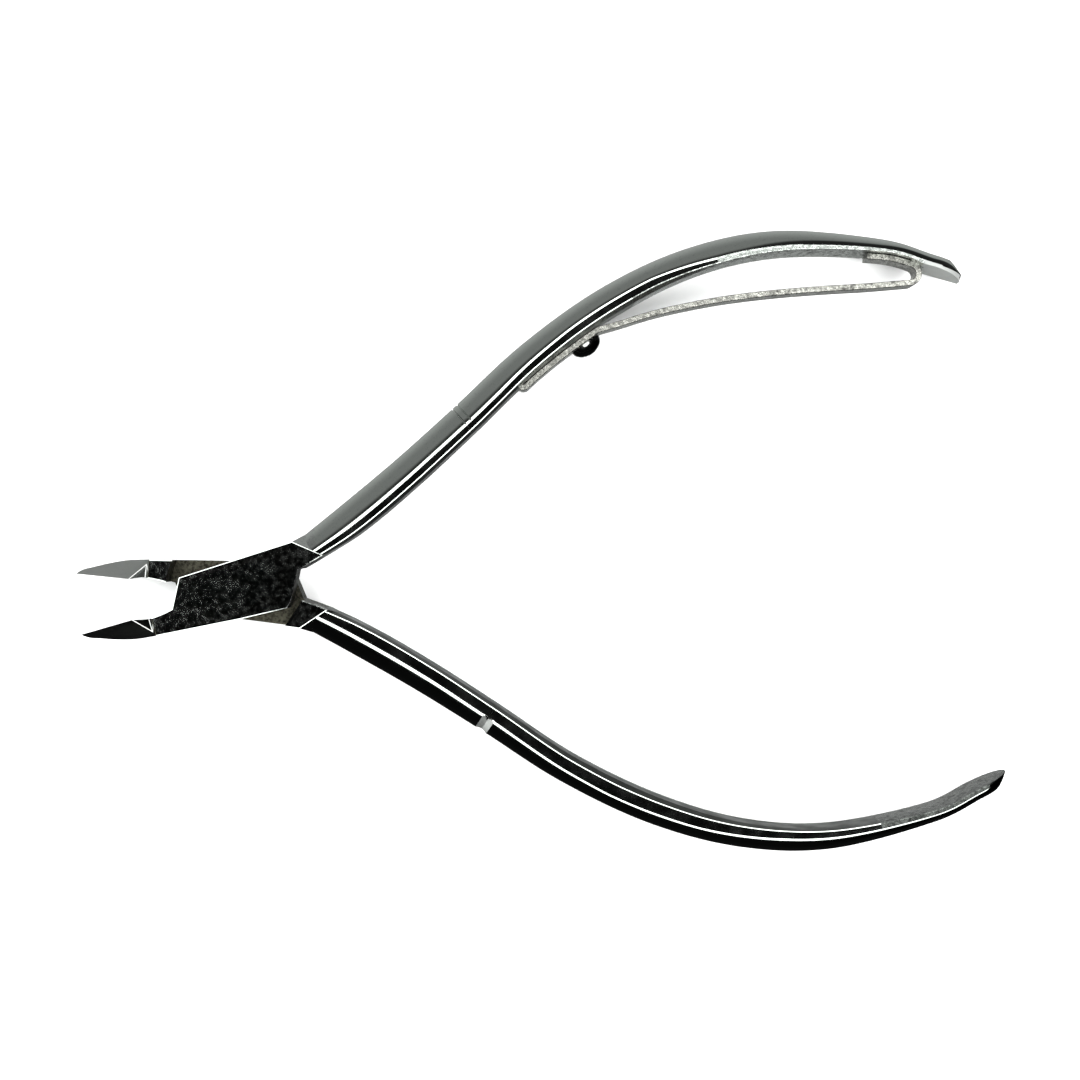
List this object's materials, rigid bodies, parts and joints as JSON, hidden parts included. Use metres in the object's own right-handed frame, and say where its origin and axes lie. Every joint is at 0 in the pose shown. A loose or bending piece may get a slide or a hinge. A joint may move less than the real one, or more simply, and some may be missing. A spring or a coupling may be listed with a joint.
{
  "type": "cuticle nipper",
  "caption": "Hand nipper with short tapered jaws, crossed lap-joint halves on a rivet, bowed handles and a leaf spring riveted inside a handle.",
  "frame": {"origin": "on the pivot axis, level with the back face of the lap joint, at the middle of the rivet's ground head", "axes": "+X from the pivot to the handles along the line halfway between the two halves, +Y towards the handle that carries the spring, +Z along the pivot axis out of the front face"},
  "size_m": [0.0997, 0.068, 0.006],
  "materials": {
    "polished_steel": "mirror-polished stainless steel, with rough recess floors",
    "bar_steel": "polished stainless steel bar, ground edges",
    "spring_steel": "bright spring strip with rough sheared edges",
    "pivot_steel": "turned, ground flush with the back face",
    "rivet_steel": "dark domed head with a bright rim"
  },
  "bodies": {
    "front_half": {"front_jaw_blank": "polished_steel", "front_handle": "bar_steel", "pivot_rivet": "pivot_steel", "spring_base": "spring_steel", "spring_rivet": "rivet_steel"},
    "rear_half": {"rear_jaw_blank": "polished_steel", "rear_handle": "bar_steel"},
    "spring_leg": {"spring_arm": "spring_steel"}
  },
  "joints": [
    {"name": "pivot", "type": "hinge", "parent": "front_half", "child": "rear_half", "pos_m": [0, 0, 0.003], "axis": [0, 0, 1], "range_deg": [-6, 21.1]},
    {"name": "spring_flex", "type": "hinge", "parent": "front_half", "child": "spring_leg", "pos_m": [0.04178, 0.02471, 0.003], "axis": [0, 0, -1], "range_deg": [0, 13], "stiffness_Nm_per_rad": 1.2}
  ]
}
